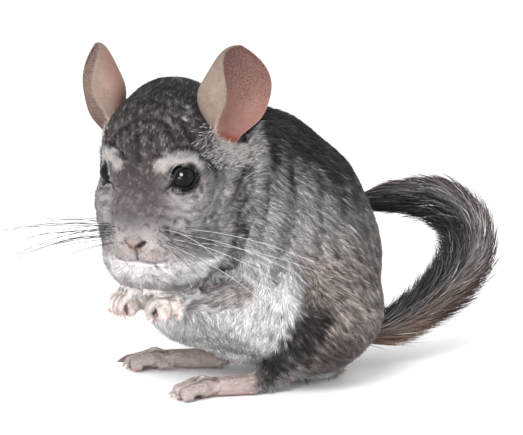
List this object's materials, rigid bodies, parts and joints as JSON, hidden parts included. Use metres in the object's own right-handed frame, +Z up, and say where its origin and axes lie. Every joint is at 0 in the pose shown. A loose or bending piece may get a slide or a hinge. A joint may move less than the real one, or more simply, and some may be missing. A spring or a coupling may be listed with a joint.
{
  "type": "chinchilla",
  "caption": "Life-size grey chinchilla sitting up with forepaws raised, head bent and turned, brush tail curled up behind; a still model.",
  "frame": {"origin": "middle of the flat under the rump, where the animal sits on the floor", "axes": "+Z up, -Y where the trunk faces, +X the animal's left side"},
  "size_m": [0.1532, 0.2717, 0.1691],
  "materials": {
    "coat_back": "dense soft fur, near black at the back, silver on the flank",
    "coat_neck": "dense soft fur",
    "coat_head": "short dense fur",
    "coat_haunch": "dense mottled fur",
    "coat_tail": "long coarse hair",
    "coat_pale": "short pale fur on feet, arms and hands",
    "ear_skin": "thin bare skin, speckled",
    "eye": "wet and glossy",
    "whisker": "stiff long hairs"
  },
  "bodies": {
    "root": {"torso": "coat_back", "neck": "coat_neck", "head": "coat_head", "thigh_left": "coat_haunch", "thigh_right": "coat_haunch", "ear_left": "ear_skin", "ear_right": "ear_skin", "eye_left": "eye", "eye_right": "eye", "whiskers_left": "whisker", "whiskers_right": "whisker", "arm_left": "coat_pale", "arm_right": "coat_pale", "hand_left": "coat_pale", "hand_right": "coat_pale", "foot_left": "coat_pale", "foot_right": "coat_pale", "tail_1": "coat_tail", "tail_2": "coat_tail", "tail_3": "coat_tail", "tail_4": "coat_tail"}
  },
  "joints": []
}
